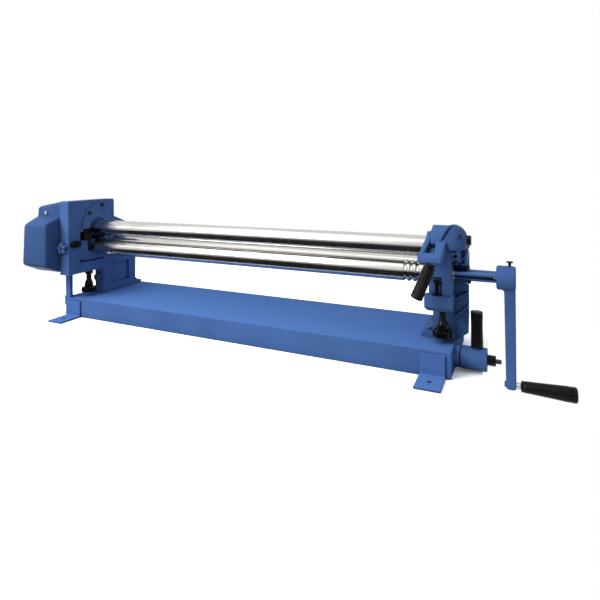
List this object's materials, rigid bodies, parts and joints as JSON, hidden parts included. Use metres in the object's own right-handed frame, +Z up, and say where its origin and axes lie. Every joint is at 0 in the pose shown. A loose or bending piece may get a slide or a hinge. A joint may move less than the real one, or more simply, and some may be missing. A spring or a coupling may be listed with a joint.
{
  "type": "slip roll machine",
  "caption": "Bench slip roll for sheet metal: ground steel rolls between cast housings on a folded base, with crank, opening cap, adjusting knobs and lift lever.",
  "frame": {"origin": "middle of the four foot bolt holes, level with the underside of the feet", "axes": "+X along the rolls towards the crank, +Y towards the rear roll, +Z up"},
  "size_m": [1.844, 0.535, 0.4865],
  "materials": {
    "blue_sheet": "gloss enamel over folded sheet steel",
    "blue_casting": "gloss enamel over cast iron, faintly pebbled",
    "roll_steel": "ground steel",
    "bright_steel": "plated steel",
    "dark_steel": "blackened and oiled steel",
    "black_steel": "black oxide steel",
    "gear_iron": "cast iron",
    "bronze": "bronze",
    "black_plastic": "moulded phenolic",
    "black_rubber": "ribbed rubber"
  },
  "bodies": {
    "frame": {"base_channel": "blue_sheet", "left_end_plate": "blue_sheet", "right_end_plate": "blue_sheet", "foot_angles": "blue_sheet", "left_housing": "blue_casting", "right_housing": "blue_casting", "housing_bolts": "dark_steel", "gear_guard": "blue_sheet", "guard_bracket": "dark_steel", "guard_screws": "bright_steel", "guard_strap": "blue_sheet", "strap_bolt": "dark_steel", "screw_nut": "black_steel", "keeper_plate": "blue_casting", "keeper_bolts": "black_steel", "head_plug": "black_plastic", "hinge_pin": "black_steel", "hinge_nut": "black_steel", "lock_washer": "black_steel"},
    "lower_carriage": {"left_lower_block": "blue_casting", "right_lower_block": "blue_casting", "lower_bushes": "bronze"},
    "lower_roll": {"lower_roll": "roll_steel", "lower_gear": "gear_iron", "lower_gear_nut": "dark_steel", "crank_shaft": "black_steel", "set_screw": "black_steel", "crank_arm": "blue_casting", "handle_pin": "bright_steel"},
    "crank_grip": {"crank_grip": "black_plastic"},
    "thumb_screw": {"thumb_screw": "black_steel"},
    "left_adjuster": {"left_adjusting_screw": "black_steel", "left_knob": "black_plastic"},
    "right_adjuster": {"right_adjusting_screw": "black_steel", "right_knob": "black_plastic"},
    "top_carrier": {"swivel_bush": "bronze", "top_right_bush": "bronze"},
    "top_roll": {"top_roll": "roll_steel", "top_gear": "gear_iron", "top_gear_nut": "dark_steel"},
    "release_cap": {"release_cap": "blue_casting", "release_pin": "bright_steel", "release_grip": "black_rubber"},
    "rear_carriage": {"rear_blocks": "blue_casting", "rear_bushes": "bronze", "lift_stems": "bright_steel"},
    "rear_roll": {"rear_roll": "roll_steel"},
    "lift_lever": {"lift_shaft": "dark_steel", "rockers": "dark_steel", "lift_lever": "blue_casting", "lift_stem": "bright_steel", "lift_grip": "black_rubber", "lift_nut": "black_steel"},
    "lock_screw": {"lock_screw": "black_steel"}
  },
  "joints": [
    {"name": "roll_adjust", "type": "slide", "parent": "frame", "child": "lower_carriage", "axis": [0, 0, 1], "range_m": [-0.004, 0.012]},
    {"name": "lower_spin", "type": "hinge", "parent": "lower_carriage", "child": "lower_roll", "pos_m": [0, -0.088, 0.266], "axis": [1, 0, 0], "continuous": true},
    {"name": "handle_spin", "type": "hinge", "parent": "lower_roll", "child": "crank_grip", "pos_m": [0.96, -0.088, -0.017], "axis": [1, 0, 0], "continuous": true},
    {"name": "thumb_turn", "type": "hinge", "parent": "lower_roll", "child": "thumb_screw", "pos_m": [0.87, -0.088, 0.3], "axis": [0, 0, 1], "range_deg": [0, 720]},
    {"name": "left_knob_turn", "type": "hinge", "parent": "lower_carriage", "child": "left_adjuster", "pos_m": [-0.661, -0.11, 0.1], "axis": [0, 0, 1], "range_deg": [-485, 1445]},
    {"name": "right_knob_turn", "type": "hinge", "parent": "lower_carriage", "child": "right_adjuster", "pos_m": [0.696, -0.088, 0.1], "axis": [0, 0, 1], "range_deg": [-485, 1445]},
    {"name": "cap_hinge", "type": "hinge", "parent": "frame", "child": "release_cap", "pos_m": [0.696, -0.042, 0.338], "axis": [-1, 0, 0], "range_deg": [0, 95]},
    {"name": "top_swivel", "type": "hinge", "parent": "frame", "child": "top_carrier", "pos_m": [-0.661, -0.088, 0.34], "axis": [0, -1, 0], "range_deg": [0, 2]},
    {"name": "top_spin", "type": "hinge", "parent": "top_carrier", "child": "top_roll", "pos_m": [0, -0.088, 0.34], "axis": [1, 0, 0], "continuous": true},
    {"name": "lift_turn", "type": "hinge", "parent": "frame", "child": "lift_lever", "pos_m": [0, -0.08, 0.036], "axis": [1, 0, 0], "range_deg": [0, 34]},
    {"name": "rear_lift", "type": "slide", "parent": "frame", "child": "rear_carriage", "axis": [0, 0, 1], "range_m": [0, 0.0432]},
    {"name": "rear_spin", "type": "hinge", "parent": "rear_carriage", "child": "rear_roll", "pos_m": [0, -0.006, 0.268], "axis": [1, 0, 0], "continuous": true},
    {"name": "lock_turn", "type": "hinge", "parent": "frame", "child": "lock_screw", "pos_m": [0.689, -0.14, 0.23], "axis": [0, 0, 1], "range_deg": [0, 1080]}
  ],
  "couplings": [
    {"joint": "left_knob_turn", "follows": "roll_adjust", "rad_per_m": 2094.4},
    {"joint": "right_knob_turn", "follows": "roll_adjust", "rad_per_m": 2094.4},
    {"joint": "top_spin", "follows": "lower_spin", "ratio": -1},
    {"joint": "top_swivel", "follows": "cap_hinge", "ratio": 0.021053},
    {"joint": "lift_turn", "follows": "rear_lift", "rad_per_m": 13.714}
  ]
}
